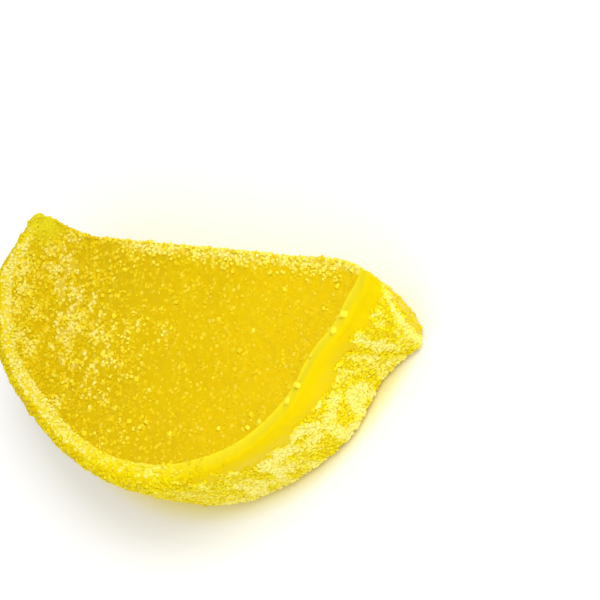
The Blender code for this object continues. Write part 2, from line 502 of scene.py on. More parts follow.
# %% Places on the wall
# Each patch is an angle, a height, its spread in degrees and its spread in millimetres.
WALL_PATCHES = (
    (13.0, 2.4, 2.0, 1.0),
    (12.4, 7.7, 1.1, 1.0),
    (17.1, 8.8, 0.9, 0.6),
    (16.8, 5.9, 1.7, 1.0),
    (21.4, 4.8, 2.0, 0.9),
    (20.7, 1.9, 2.5, 0.8),
    (34, 6.2, 3.0, 1.2),
    (38, 5.6, 4.0, 1.2),
    (31, 2.1, 4.0, 1.1),
    (45, 5.2, 4.0, 1.3),
    (56, 4.0, 6.0, 1.5),
    (65, 3.4, 5.0, 1.6),
    (77, 1.8, 9.0, 1.1),
)
FACET_ANGLE = 12.8
FACET_CURVE = 0.1
BARE_HEIGHT = 10.1
# Each dip is the angle of its middle, its spread in degrees and its depth.
BARE_DIPS = ((28, 16, 2.3), (56, 15, 1.9))


def facet_edge(height):
    """The angle at which the smooth facet of the right end turns into the round wall."""
    return FACET_ANGLE - FACET_CURVE * height**2


def bare_above(angle):
    """The height down to which the rim is rubbed bare. It dips in two places."""
    height = BARE_HEIGHT
    for middle, spread, depth in BARE_DIPS:
        height -= depth * bump(angle, middle, spread)
    return height


print(len(WALL_PATCHES), "patches of sugar on the wall")

# %% The amounts of sugar on the outer layer
EDGE_WAVE = 1.2
EDGE_WAVE_SIZE = 1.5
EDGE_FADE = 0.9
# Angles along the wall, in degrees.
RIDGE_WIDTH = 1.3
RIDGE_OFFSET = 0.7
FACET_FADE = 1.5
THIN_BY_RIDGE = 10


def bareness(point, across, angle):
    """1 on the bare shoulder. Its lower edge is wavy, and the strip by the ring is bare too."""
    edge = bare_above(angle) + EDGE_WAVE * (cloud(point, EDGE_WAVE_SIZE) - 0.5)
    above_edge = step((point.z - edge) / EDGE_FADE + 0.5)
    return rubbed(angle) * max(above_edge, 1 - step(across * 3 - 1.5))


def sugar_on_outer(point, across, level, angle):
    bare = bareness(point, across, angle)
    seen_at = angle_of(point)
    past_facet = seen_at - facet_edge(point.z)
    ridge = bump(seen_at, facet_edge(point.z) + RIDGE_OFFSET, RIDGE_WIDTH)
    by_hand = max(
        bump(seen_at, middle, spread) * bump(point.z, height, tall)
        for middle, height, spread, tall in WALL_PATCHES
    )
    round_side = step(past_facet / FACET_FADE + 0.5)
    # Past the lowest point of the arc, towards the left end, white sugar is rarer. Less white there
    #     is also painted shade, as that side of the wall gets less light.
    least = mix(0.35, 0.1, step((angle - 80) / 30))
    most = mix(1.0, 0.35, step((angle - 65) / 25))
    # The smooth facet holds little of it, and the wall next to the ridge about half.
    share = mix(0.15, mix(0.55, 1.0, step(past_facet / THIN_BY_RIDGE)), round_side)
    scattered = mix(least, most, clumps(on_wall(point), WALL_CLUMPS)) * share
    white = max(ridge, by_hand, scattered) * (1 - bare) * (1 - on_horn(point))
    cover = (1 - bare) * mix(0.4, 1.0, round_side)
    return cover, 0.25 * cover, 0.8 * max(0.0, white - 0.3), white


print("at the face the facet ends at", round(facet_edge(RIM_HEIGHT), 1), "degrees")

# %% [markdown]
# The amounts are stored as attributes of the vertices. Geometry Nodes reads them to strew the
# sugar, and the materials read how white it is.

# %% Store the amounts
SUGARS = ("fine_face", "fine_rim", "coarse", "dry", "white")


def store_sugar(mesh, amounts, fine):
    """fine says which of the two fine sugars lies on this layer."""
    layers = mesh.verts.layers.float
    for name in SUGARS:
        layers.new(name)
    for vertex in mesh.verts:
        place = (vertex[layers[name]] for name in ("across", "level", "angle"))
        for name, amount in zip((fine, "coarse", "dry", "white"), amounts(vertex.co, *place)):
            vertex[layers[name]] = amount


print("amounts:", ", ".join(SUGARS))

# %% [markdown]
# ## The three layers
# The centre is the clear jelly that was cast first. The cells are about 0.25 mm wide, fine enough
# for the dimples. Each piece stands for the solid of its layer and closes the gap that the solids
# keep.

# %% The clear centre
def make_centre():
    mesh = spin_section(across_cells=84)
    shape_layer(mesh, lambda angle: 0.0, jelly_radius, centre_top, flat_bottom)
    store_sugar(mesh, sugar_on_centre, "fine_face")
    return as_piece(mesh, "clear_centre")


centre = make_centre()
print("clear centre:", len(centre.data.polygons), "faces")

# %% [markdown]
# The pale layer is a strip of whipped jelly. It climbs from the edge of the centre to the rim.

# %% The pale layer
def make_pale():
    mesh = spin_section(across_cells=6)
    shape_layer(mesh, jelly_radius, pale_radius, pale_top, flat_bottom)
    store_sugar(mesh, sugar_on_pale, "fine_rim")
    return as_piece(mesh, "pale_ring")


pale = make_pale()
print("pale ring:", len(pale.data.polygons), "faces")

# %% [markdown]
# The outer layer is the lemon jelly that looks like peel. Its outside is the wall of the slice.

# %% The outer layer
def make_outer():
    mesh = spin_section(across_cells=10)
    shape_layer(mesh, pale_radius, outer_radius, outer_top, outer_bottom, skin=1.0)
    store_sugar(mesh, sugar_on_outer, "fine_rim")
    return as_piece(mesh, "lemon_layer")


outer = make_outer()
print("lemon layer:", len(outer.data.polygons), "faces")

# %% [markdown]
# ## Crystals
# Sugar grows as slanting blocks with cut corners. One block is modelled for each kind and then
# strewn by Geometry Nodes: points are spread over the layers by the stored amounts, a turned and
# unevenly scaled block is set on each, and the result is realized into one plain mesh. Particles
# would look the same but would not survive the export.

#
# The sugar must lie on the outside alone, so the walls where two layers touch are left out of a
# joined copy of the layers, the coat. It only carries the points and is removed afterwards.

# %% The coat: the layers' outer faces, joined
ON_WALL = 0.001


def hidden(face, layers, walls):
    """True for a face that lies wholly on an inner wall of its layer."""
    across = [vertex[layers["across"]] for vertex in face.verts]
    return any(all(abs(place - wall) < ON_WALL for place in across) for wall in walls)


def make_coat():
    coat = bmesh.new()
    for piece, walls in ((centre, (1,)), (pale, (0, 1)), (outer, (0,))):
        mesh = bmesh.new()
        mesh.from_mesh(piece.data)
        layers = mesh.verts.layers.float
        inner = [face for face in mesh.faces if hidden(face, layers, walls)]
        bmesh.ops.delete(mesh, geom=inner, context="FACES")
        part = bpy.data.meshes.new("part")
        mesh.to_mesh(part)
        mesh.free()
        coat.from_mesh(part)
        bpy.data.meshes.remove(part)
    return as_object(coat, "coat")


coat = make_coat()
print("coat:", len(coat.data.polygons), "faces")

# %% [markdown]
# A fine grain is only three pixels wide in the render, so a block of six faces with a smaller top
# is enough, high for a grain and low for a flake. A large crystal has its edges bevelled and its
# top sheared to one side.

# %% A grain, a flake and a large crystal
GRAIN_WIDTH = 0.9
CRYSTAL_BEVEL = 0.14
CRYSTAL_SLANT = 0.18


def small_grain(name, height, top):
    """height is a share of the width, and top the width of the top as a share of the foot's."""
    mesh = bmesh.new()
    bmesh.ops.create_cube(mesh, size=GRAIN_WIDTH)
    upper = [vertex for vertex in mesh.verts if vertex.co.z > 0]
    bmesh.ops.scale(mesh, vec=(top, top, 1.0), verts=upper)
    bmesh.ops.scale(mesh, vec=(1.0, 1.0, height), verts=mesh.verts)
    return as_object(mesh, name)


def large_crystal():
    mesh = bmesh.new()
    bmesh.ops.create_cube(mesh, size=1.0)
    bmesh.ops.bevel(
        mesh,
        geom=mesh.edges[:],
        offset=CRYSTAL_BEVEL,
        affect="EDGES",
        segments=1,
        profile=0.5,
        material=-1,
    )
    slant = Matrix.Shear("XY", 4, (0.0, CRYSTAL_SLANT))
    bmesh.ops.transform(mesh, matrix=slant, verts=mesh.verts)
    return as_object(mesh, "large_crystal")


grain = small_grain("grain", height=1.0, top=0.65)
flake = small_grain("flake", height=0.5, top=0.6)
crystal = large_crystal()
crystal_mesh = crystal.data
print("faces of a crystal:", len(crystal_mesh.polygons))

# %% [markdown]
# The strewing is one tree of nodes, and the materials will be trees too. One small function adds
# a node of any kind, with its settings, values and links. The first part of the tree spreads
# points over the coat, as many to a square millimetre as the stored amount asks for. Every random
# node has a seed of its own, so that heights, tints, turns and sizes don't follow each other.

# %% Add a node, and spread points over the coat
def add_node(tree, kind, links=(), values=(), **settings):
    """links and values are dicts from a socket's name or number to its source or its value."""
    node = tree.nodes.new(kind)
    for name, setting in settings.items():
        setattr(node, name, setting)
    for socket, value in dict(values).items():
        node.inputs[socket].default_value = value
    for socket, source in dict(links).items():
        tree.links.new(source, node.inputs[socket])
    return node


def spread_points(tree, amount, per_mm2, seed):
    surface = add_node(tree, "NodeGroupInput")
    cover = add_node(tree, "GeometryNodeInputNamedAttribute", values={"Name": amount})
    density = add_node(
        tree,
        "ShaderNodeMath",
        operation="MULTIPLY",
        links={0: cover.outputs["Attribute"]},
        values={1: per_mm2 / MM**2},
    )
    return add_node(
        tree,
        "GeometryNodeDistributePointsOnFaces",
        links={"Mesh": surface.outputs[0], "Density": density.outputs[0]},
        values={"Seed": seed},
    )


print("one square metre is", round(1 / MM**2), "square millimetres")

# %% [markdown]
# Grains are half sunk in the jelly and some lie on others, so each point is moved along the
# normal by its own height. It also gets a tint, which its grain's colour will follow.

# %% Raise and tint the points
def raise_points(tree, points, proud, pile, seed):
    height = add_node(
        tree,
        "FunctionNodeRandomValue",
        data_type="FLOAT",
        values={2: proud * MM, 3: (proud + pile) * MM, "Seed": seed + 1},
    )
    offset = add_node(
        tree,
        "ShaderNodeVectorMath",
        operation="SCALE",
        links={0: points.outputs["Normal"], "Scale": height.outputs[1]},
    )
    return add_node(
        tree,
        "GeometryNodeSetPosition",
        links={"Geometry": points.outputs["Points"], "Offset": offset.outputs[0]},
    )


def tint_points(tree, raised, seed):
    tint = add_node(
        tree, "FunctionNodeRandomValue", data_type="FLOAT", values={2: 0.0, 3: 1.0, "Seed": seed + 2}
    )
    return add_node(
        tree,
        "GeometryNodeStoreNamedAttribute",
        links={"Geometry": raised.outputs[0], "Value": tint.outputs[1]},
        values={"Name": "tint"},
    )


print("each point gets a height and a tint")

# %% [markdown]
# A grain that lies flat looks dark or bright with its neighbours, as a wet crust does. The more
# it is tilted, the more it sparkles by itself. So each grain is spun freely but tilted by a set
# amount, and its three sizes are drawn one by one.

# %% Set the grains on the points
def set_grains(tree, points, tinted, grain, smallest, largest, tilt, seed):
    turn = add_node(
        tree,
        "FunctionNodeRandomValue",
        data_type="FLOAT_VECTOR",
        values={0: (-tilt, -tilt, 0), 1: (tilt, tilt, math.tau), "Seed": seed + 3},
    )
    lie = add_node(
        tree,
        "FunctionNodeRotateRotation",
        rotation_space="LOCAL",
        links={"Rotation": points.outputs["Rotation"], "Rotate By": turn.outputs[0]},
    )
    size = add_node(
        tree,
        "FunctionNodeRandomValue",
        data_type="FLOAT_VECTOR",
        values={0: (smallest * MM,) * 3, 1: (largest * MM,) * 3, "Seed": seed + 4},
    )
    shape = add_node(tree, "GeometryNodeObjectInfo", values={"Object": grain})
    return add_node(
        tree,
        "GeometryNodeInstanceOnPoints",
        links={
            "Points": tinted.outputs[0],
            "Instance": shape.outputs["Geometry"],
            "Rotation": lie.outputs[0],
            "Scale": size.outputs[0],
        },
    )


print("each grain gets a turn and three sizes")

# %% [markdown]
# The whole tree runs as a modifier of the coat. Its result is copied into a mesh of its own, and
# the modifier goes again. Nothing may sink below the table, so the lowest corners are lifted.

# %% Strew a kind of grain
def strew(name, grain, amount, per_mm2, smallest, largest, proud, pile, tilt, seed):
    """Spreads grains over the coat by the stored amount. Sizes are in millimetres: proud is how
    far a grain's middle stands off the surface, and pile how much further the highest one lies.
    tilt is how far a grain may lean, in radians."""
    tree = bpy.data.node_groups.new(name, "GeometryNodeTree")
    tree.interface.new_socket("Geometry", in_out="INPUT", socket_type="NodeSocketGeometry")
    tree.interface.new_socket("Geometry", in_out="OUTPUT", socket_type="NodeSocketGeometry")
    points = spread_points(tree, amount, per_mm2, seed)
    tinted = tint_points(tree, raise_points(tree, points, proud, pile, seed), seed)
    placed = set_grains(tree, points, tinted, grain, smallest, largest, tilt, seed)
    real = add_node(tree, "GeometryNodeRealizeInstances", links={0: placed.outputs[0]})
    add_node(tree, "NodeGroupOutput", links={0: real.outputs[0]})
    return realized(name, tree)


def realized(name, tree):
    """Runs the nodes on the coat and keeps the result as a plain mesh of its own."""
    nodes = coat.modifiers.new("sugar", "NODES")
    nodes.node_group = tree
    evaluated = coat.evaluated_get(bpy.context.evaluated_depsgraph_get())
    data = bpy.data.meshes.new_from_object(evaluated)
    coat.modifiers.clear()
    bpy.data.node_groups.remove(tree)
    data.name = name
    for vertex in data.vertices:
        vertex.co.z = max(vertex.co.z, 0.0)
    piece = bpy.data.objects.new(name, data)
    bpy.context.scene.collection.objects.link(piece)
    print(name + ":", sum(len(face.vertices) - 2 for face in data.polygons), "triangles")
    return piece


# %% [markdown]
# Sanding sugar is 0.3 to 0.8 mm. Four kinds are told apart: wet flakes that have half melted into
# the face, grains on the rim and the wall, coarse crystals, and dry grains in the white patches.

# %% Strew four kinds of sugar
face_sugar = strew(
    "face_sugar",
    flake,
    "fine_face",
    per_mm2=7.0,
    smallest=0.32,
    largest=0.66,
    proud=-0.09,
    pile=0.05,
    tilt=0.22,
    seed=1,
)
rim_sugar = strew(
    "rim_sugar",
    grain,
    "fine_rim",
    per_mm2=9.0,
    smallest=0.35,
    largest=0.6,
    proud=-0.15,
    pile=0.08,
    tilt=0.35,
    seed=6,
)
coarse_sugar = strew(
    "coarse_sugar",
    crystal,
    "coarse",
    per_mm2=1.2,
    smallest=0.3,
    largest=0.5,
    proud=-0.02,
    pile=0.06,
    tilt=3.0,
    seed=11,
)
dry_sugar = strew(
    "dry_sugar",
    grain,
    "dry",
    per_mm2=14.0,
    smallest=0.28,
    largest=0.5,
    proud=-0.06,
    pile=0.08,
    tilt=0.45,
    seed=21,
)

for helper in (coat, grain, flake, crystal):
    bpy.data.objects.remove(helper)

# %% [markdown]
# Some single crystals stand out by their size, most of them on the bare right part of the rim,
# where clear centre and pale layer meet. They are too few to be strewn, so each is set one by one.

# %% Single crystals
# Each is an angle, how far it lies inwards from the edge of the centre, and its width.
SINGLE_CRYSTALS = (
    (13.0, -0.75, 0.75),
    (18.0, -0.7, 0.7),
    (27.0, -0.3, 0.4),
    (35.0, -0.6, 0.75),
    (39.8, -0.55, 0.75),
    (50.1, 0.3, 0.5),
    (54.0, 0.6, 0.45),
    (63.5, 2.2, 0.4),
    (94.0, 3.4, 0.55),
)
CRYSTAL_PROPORTIONS = (1.0, 0.85, 0.7)
FAR_FROM_LIP = 99.0
PALE_SLOPE = 0.3
CRYSTAL_STANDS = 0.1


def crystal_place(angle, inwards, width):
    """A place on the face, or on the pale layer's slope if inwards is negative."""
    turn = math.radians(angle)
    radius = jelly_radius(angle) - inwards
    across = min(1.0, radius / jelly_radius(angle))
    height = centre_top(across, FAR_FROM_LIP)
    place = shape_ends((radius * math.cos(turn), -radius * math.sin(turn), height))
    place.z += PALE_SLOPE * max(0.0, -inwards) + CRYSTAL_STANDS * width
    return place


def make_single_crystals():
    mesh = bmesh.new()
    for number, (angle, inwards, width) in enumerate(SINGLE_CRYSTALS):
        start = len(mesh.verts)
        mesh.from_mesh(crystal_mesh)
        mesh.verts.ensure_lookup_table()
        place = crystal_place(angle, inwards, width)
        size = Vector(CRYSTAL_PROPORTIONS) * width
        lie = Matrix.LocRotScale(place, Euler((0.5 * number, 0.4, 2 * number)), size)
        bmesh.ops.transform(mesh, matrix=lie, verts=mesh.verts[start:])
    for name, value in (("white", 1.0), ("tint", 0.6)):
        layer = mesh.verts.layers.float.new(name)
        for vertex in mesh.verts:
            vertex[layer] = value
    return as_piece(mesh, "single_crystals")


single_crystals = make_single_crystals()
print("single crystals:", len(SINGLE_CRYSTALS))

# %% [markdown]
# ## Jelly
# Colours are picked as hex codes, as a picture shows them, and one function turns them into the
# linear values that the shader wants. Jelly and sugar are wet and rough, which breaks up what
# they mirror, so all of them share a weak shine with a little of the jelly's own yellow.

# %% Colours and shine
def linear(code):
    """The linear colour of an sRGB hex code."""
    parts = [int(code[start : start + 2], 16) / 255 for start in (1, 3, 5)]
    curved = [part / 12.92 if part <= 0.04045 else ((part + 0.055) / 1.055) ** 2.4 for part in parts]
    return (*curved, 1.0)


SOFT_SHINE = {"Specular IOR Level": 0.12, "Specular Tint": linear("#FFF080")}
# A Mix node has a pair of sockets for each kind of value. These are the numbers of the colours.
MIX_A, MIX_B, MIX_COLOUR = 6, 7, 2

print("lemon in linear values:", [round(part, 3) for part in linear("#E4CA00")])

# %% [markdown]
# Every material starts from Blender's Principled shader and ends by linking a colour and a bump
# to it and setting its plain values. In between, a colour often goes over to another one where
# some measure, such as a place or an amount, runs through a range.

# %% Start a material, change its colour and finish it
def start_material(name):
    made = bpy.data.materials.new(name)
    made.use_nodes = True
    return made, made.node_tree


def toward(tree, plain, code, measure, span, curve="LINEAR"):
    """Takes a colour over to that of a hex code. The span is where this starts, where it ends,
    and the share of the new colour at the start and at the end."""
    share = add_node(
        tree,
        "ShaderNodeMapRange",
        interpolation_type=curve,
        links={0: measure},
        values=dict(enumerate(span, start=1)),
    )
    mixed = add_node(
        tree,
        "ShaderNodeMix",
        data_type="RGBA",
        links={"Factor": share.outputs[0], MIX_A: plain},
        values={MIX_B: linear(code)},
    )
    return mixed.outputs[MIX_COLOUR]


def finish_material(made, colour, bumps, values):
    """values is a dict from a socket's name to its value. bumps is None for a smooth surface."""
    tree = made.node_tree
    shader = tree.nodes["Principled BSDF"]
    tree.links.new(colour, shader.inputs["Base Color"])
    if bumps:
        tree.links.new(bumps.outputs[0], shader.inputs["Normal"])
    for socket, value in values.items():
        shader.inputs[socket].default_value = value
    return made


print("materials so far:", len(bpy.data.materials))

# %% [markdown]
# The left end gets less light through the jelly than the right end, and looks darker.
# Real light through real jelly would do that by itself, but it takes very long to render. So a
# painted shade darkens the colour along the slice, towards the left end.

# %% Painted shade to the left
PAINTED_SHADE_FROM = -4
PAINTED_SHADE_DARKEST_AT = -18


def painted_shade_left(tree, plain, share):
    """share is how much of the painted shade, a darker colour, the left end gets."""
    place = add_node(tree, "ShaderNodeTexCoord")
    side = add_node(tree, "ShaderNodeSeparateXYZ", links={0: place.outputs["Object"]})
    span = (PAINTED_SHADE_FROM * MM, PAINTED_SHADE_DARKEST_AT * MM, 0.0, share)
    # The dark colour of the painted shade on the left end.
    return toward(tree, plain, "#B49600", side.outputs["X"], span)


print("the colour deepens over", PAINTED_SHADE_FROM - PAINTED_SHADE_DARKEST_AT, "mm")

# %% [markdown]
# The horn is thin, so light comes through it from behind and it looks greener. Its colour follows
# the distance from its tip.

# %% A thin, greener tip
HORN_TIP = Vector((-18.2, 12.8, 10.7))
TIP_CORE = 0.5
TIP_REACH = 4.0


def thin_tip(tree, plain):
    place = add_node(tree, "ShaderNodeTexCoord")
    from_tip = add_node(
        tree,
        "ShaderNodeVectorMath",
        operation="DISTANCE",
        links={0: place.outputs["Object"]},
        values={1: HORN_TIP * MM},
    )
    span = (TIP_CORE * MM, TIP_REACH * MM, 1.0, 0.0)
    return toward(tree, plain, "#DACC1C", from_tip.outputs["Value"], span, "SMOOTHSTEP")


print("the tip's colour reaches", TIP_REACH, "mm")

# %% [markdown]
# Sugar dust between the grains is too fine to model. Where the stored whiteness is high, it is
# drawn as a paler colour of the jelly.

# %% Dust between the grains
DUST_FROM = 0.55


def dusted(tree, plain, code, share):
    """code is the colour of the dust and share the most that it covers."""
    whiteness = add_node(tree, "ShaderNodeAttribute", attribute_name="white")
    return toward(tree, plain, code, whiteness.outputs["Fac"], (DUST_FROM, 1.0, 0.0, share))


print("dust shows from a whiteness of", DUST_FROM)

# %% [markdown]
# ### Clear pectin jelly
# The centre is pectin jelly, cast clear, cut, and steamed so that sugar sticks. That gives the
# eye an amber depth with soft clouds in it, and a satin, slightly wet face. A see-through shader
# would be truest, but it is slow and noisy, so a little subsurface light stands for the depth.

# %% Depth, painted shade and specks of the clear jelly
# The clouds are as wide as the streams that ran together in the mould.
AMBER_CLOUDS = 7
AMBER_SHARE = 0.6
# A painted shade darkens the amber from the first place, on the right, to the second, on the left,
# in millimetres.
AMBER_SHADE_START = 14
AMBER_SHADE_END = -14
# Half-melted crystals in the face show as lighter specks, as wide as a grain, drawn where the
# noise is above its middle, 0.5. Part of their lightness is painted highlights.
SPECK_SIZE = 0.5
SPECK_SPAN = (0.5, 0.75, 0.0, 0.35)


def amber_clouds_and_shade(tree, place):
    """Amber that is deeper in its clouds, and darker towards the left by a painted shade."""
    clouds = add_node(
        tree,
        "ShaderNodeTexNoise",
        links={"Vector": place.outputs["Object"]},
        values={"Scale": 1 / (AMBER_CLOUDS * MM), "Detail": 2.0},
    )
    side = add_node(tree, "ShaderNodeSeparateXYZ", links={0: place.outputs["Object"]})
    # Painted shade: the amber darkens towards the left end, which gets less light.
    painted_shade_to_left = add_node(
        tree,
        "ShaderNodeMapRange",
        links={0: side.outputs["X"]},
        values={1: AMBER_SHADE_START * MM, 2: AMBER_SHADE_END * MM, 3: -0.2, 4: 0.6},
    )
    shade = add_node(
        tree,
        "ShaderNodeMath",
        operation="MULTIPLY_ADD",
        links={0: clouds.outputs[0], 2: painted_shade_to_left.outputs[0]},
        values={1: AMBER_SHARE},
        use_clamp=True,
    )
    # The darker amber is the jelly's own colour in the clouds, and painted shade towards the left.
    depth = add_node(
        tree,
        "ShaderNodeMix",
        data_type="RGBA",
        links={"Factor": shade.outputs[0]},
        values={MIX_A: linear("#E0BE00"), MIX_B: linear("#C6A600")},
    )
    return depth.outputs[MIX_COLOUR]


print("specks of", SPECK_SIZE, "mm in clouds of", AMBER_CLOUDS, "mm")

# %% Clear pectin jelly
# Light goes a fraction of a millimetre into the amber, and blue light the least.
DEPTH_SHARE = 0.2
DEPTH_REACH = 0.25
DEPTH_COLOURS = (1.0, 0.7, 0.1)


def clear_jelly():
    made, tree = start_material("clear_pectin_jelly")
    place = add_node(tree, "ShaderNodeTexCoord")
    speck = add_node(
        tree,
        "ShaderNodeTexNoise",
        links={"Vector": place.outputs["Object"]},
        values={"Scale": 1 / (SPECK_SIZE * MM), "Detail": 3.0},
    )
    amber = amber_clouds_and_shade(tree, place)
    # Lighter specks: half-melted crystals, partly painted highlights.
    specks_and_glints = toward(tree, amber, "#F0D820", speck.outputs[0], SPECK_SPAN)
    dusty = dusted(tree, specks_and_glints, "#EEDC60", 0.5)
    bumps = add_node(
        tree,
        "ShaderNodeBump",
        links={"Height": speck.outputs[0]},
        values={"Strength": 0.5, "Distance": 0.15 * MM},
    )
    depth = {
        "Subsurface Weight": DEPTH_SHARE,
        "Subsurface Radius": DEPTH_COLOURS,
        "Subsurface Scale": DEPTH_REACH * MM,
    }
    values = {"Roughness": 0.35, "IOR": 1.46, **SOFT_SHINE, **depth}
    return finish_material(made, thin_tip(tree, dusty), bumps, values)


CLEAR_JELLY = clear_jelly()
print("made", CLEAR_JELLY.name)

# %% [markdown]
# ### Cloudy whipped jelly
# The pale layer is jelly with fine air beaten in. The bubbles scatter light near the surface, so
# the eye sees a pale, even strip with no depth. Its inner edge is a little paler than its outer
# one, where the lemon jelly has soaked in. Part of that paleness is a painted highlight along the
# inner edge, which stands above the dished face.

# %% Cloudy whipped jelly
# Beaten-in bubbles are 0.02 mm, too fine to show, so groups of them are drawn, 0.8 mm wide.
AIR_SIZE = 0.8
AIR_SHARE = 0.4


def air_clouds(tree, air):
    """Paler where there is more air or more sugar."""
    whiteness = add_node(tree, "ShaderNodeAttribute", attribute_name="white")
    cloudy = add_node(
        tree,
        "ShaderNodeMath",
        operation="MULTIPLY_ADD",
        links={0: air.outputs[0], 2: whiteness.outputs["Fac"]},
        values={1: AIR_SHARE},
    )
    paler = add_node(
        tree,
        "ShaderNodeMath",
        operation="SUBTRACT",
        links={0: cloudy.outputs[0]},
        values={1: AIR_SHARE / 2},
        use_clamp=True,
    )
    pale = add_node(
        tree,
        "ShaderNodeMix",
        data_type="RGBA",
        links={"Factor": paler.outputs[0]},
        values={MIX_A: linear("#ECDC08"), MIX_B: linear("#ECDA48")},
    )
    return pale.outputs[MIX_COLOUR]


def cloudy_jelly():
    made, tree = start_material("cloudy_whipped_jelly")
    place = add_node(tree, "ShaderNodeTexCoord")
    air = add_node(
        tree,
        "ShaderNodeTexNoise",
        links={"Vector": place.outputs["Object"]},
        values={"Scale": 1 / (AIR_SIZE * MM), "Detail": 3.0},
    )
    across = add_node(tree, "ShaderNodeAttribute", attribute_name="across")
    # Paler inwards: lemon dye soaked into the outer side, and a painted highlight along the inner
    # edge.
    soaked_and_highlit = add_node(
        tree,
        "ShaderNodeMix",
        data_type="RGBA",
        links={"Factor": across.outputs["Fac"], MIX_A: air_clouds(tree, air)},
        values={MIX_B: linear("#E6CE04")},
    )
    bumps = add_node(
        tree,
        "ShaderNodeBump",
        links={"Height": air.outputs[0]},
        values={"Strength": 0.3, "Distance": 0.12 * MM},
    )
    # Painted shade darkens the left end.
    left_shade = painted_shade_left(tree, soaked_and_highlit.outputs[MIX_COLOUR], 0.25)
    values = {"Roughness": 0.42, "IOR": 1.45, **SOFT_SHINE}
    return finish_material(made, thin_tip(tree, left_shade), bumps, values)


CLOUDY_JELLY = cloudy_jelly()
print("made", CLOUDY_JELLY.name)

# %% [markdown]
# ### Lemon jelly
# The outer layer is dyed jelly with the skin that it took from its mould. The eye sees a bright,
# slightly mottled yellow. Next to the cloudy layer the dye has run out a little.

# %% Lemon jelly
# Dye settles in mottles of a few millimetres.
MOTTLE_SIZE = 2.2
DYE_EDGE = 0.3


def lemon_jelly():
    made, tree = start_material("lemon_jelly")
    place = add_node(tree, "ShaderNodeTexCoord")
    mottle = add_node(
        tree,
        "ShaderNodeTexNoise",
        links={"Vector": place.outputs["Object"]},
        values={"Scale": 1 / (MOTTLE_SIZE * MM), "Detail": 3.0},
    )
    mottled = add_node(
        tree,
        "ShaderNodeMix",
        data_type="RGBA",
        links={"Factor": mottle.outputs[0]},
        values={MIX_A: linear("#DABC00"), MIX_B: linear("#E4CA00")},
    )
    across = add_node(tree, "ShaderNodeAttribute", attribute_name="across")
    span = (0.0, DYE_EDGE, 1.0, 0.0)
    lemon = mottled.outputs[MIX_COLOUR]
    run_out = toward(tree, lemon, "#E6CE04", across.outputs["Fac"], span, "SMOOTHSTEP")
    bumps = add_node(
        tree,
        "ShaderNodeBump",
        links={"Height": mottle.outputs[0]},
        values={"Strength": 0.4, "Distance": 0.2 * MM},
    )
    dusty = dusted(tree, run_out, "#F0E460", 0.8)
    # Painted shade darkens the left end.
    left_shade = painted_shade_left(tree, dusty, 0.35)
    values = {"Roughness": 0.38, "IOR": 1.46, **SOFT_SHINE}
    return finish_material(made, thin_tip(tree, left_shade), bumps, values)


LEMON_JELLY = lemon_jelly()
print("made", LEMON_JELLY.name)

# %% [markdown]
# ### Sugar
# Sugar crystals are clear. A wet one shows the jelly under it, and a dry heap looks white because
# its many faces scatter the light. Clear shaders on thousands of grains are slow, so the colour
# goes from the jelly's to white instead, by where a grain lies and by a tint of its own. Five
# finishes are needed, because each kind of grain is wet or dry in its own way.

# %% Sugar
TINT_SHARE = 0.4


def sugar(name, clear, pale, white, dull, left_shade):
    """The three colours run from wet to dry. dull is the roughness, and left_shade how much of the
    painted shade, a darker colour, the left end gets."""
    made, tree = start_material(name)
    tint = add_node(tree, "ShaderNodeAttribute", attribute_name="tint")
    whiteness = add_node(tree, "ShaderNodeAttribute", attribute_name="white")
    own = add_node(
        tree,
        "ShaderNodeMath",
        operation="MULTIPLY_ADD",
        links={0: tint.outputs["Fac"]},
        values={1: TINT_SHARE, 2: -TINT_SHARE / 2},
    )
    share = add_node(
        tree,
        "ShaderNodeMath",
        operation="ADD",
        links={0: own.outputs[0], 1: whiteness.outputs["Fac"]},
    )
    colour = add_node(tree, "ShaderNodeValToRGB", links={0: share.outputs[0]})
    ramp = colour.color_ramp.elements
    ramp[0].color = linear(clear)
    ramp[1].color = linear(white)
    ramp.new(0.5).color = linear(pale)
    # Painted shade darkens the grains towards the left end.
    shaded = painted_shade_left(tree, colour.outputs[0], left_shade)
    values = {"Roughness": dull, "IOR": 1.54, **SOFT_SHINE}
    return finish_material(made, thin_tip(tree, shaded), None, values)


WET_SUGAR = sugar("wet_sugar", "#D2B200", "#E6CA14", "#EEDC70", dull=0.4, left_shade=0.12)
DAMP_SUGAR = sugar("damp_sugar", "#DCC200", "#ECDE08", "#F6EC80", dull=0.4, left_shade=0.25)
CLEAR_SUGAR = sugar("clear_sugar", "#DEC404", "#ECDA28", "#F4E870", dull=0.35, left_shade=0.2)
SINGLE_SUGAR = sugar("single_sugar", "#E0CA08", "#E8D828", "#ECDE38", dull=0.35, left_shade=0.2)
DRY_SUGAR = sugar("dry_sugar", "#E0CA20", "#F0E040", "#F4EA88", dull=0.5, left_shade=0.2)
print("sugars:", ", ".join(made.name for made in bpy.data.materials if "sugar" in made.name))

# %% [markdown]
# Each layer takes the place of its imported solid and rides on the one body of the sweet. The sugar
# is extra, so it replaces nothing.

# %% Dress the pieces
for piece, node, slot, finish in (
    (centre, "centre_jelly", "centre_jelly", CLEAR_JELLY),
    (pale, "pale_layer", "pale_jelly", CLOUDY_JELLY),
    (outer, "outer_layer", "outer_jelly", LEMON_JELLY),
):
    piece.data.materials.append(finish)
    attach(piece, "root")
    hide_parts(node)

for piece, finish in (
    (face_sugar, WET_SUGAR),
    (rim_sugar, DAMP_SUGAR),
    (coarse_sugar, CLEAR_SUGAR),
    (single_crystals, SINGLE_SUGAR),
    (dry_sugar, DRY_SUGAR),
):
    piece.data.materials.clear()
    piece.data.materials.append(finish)
    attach(piece, "root")

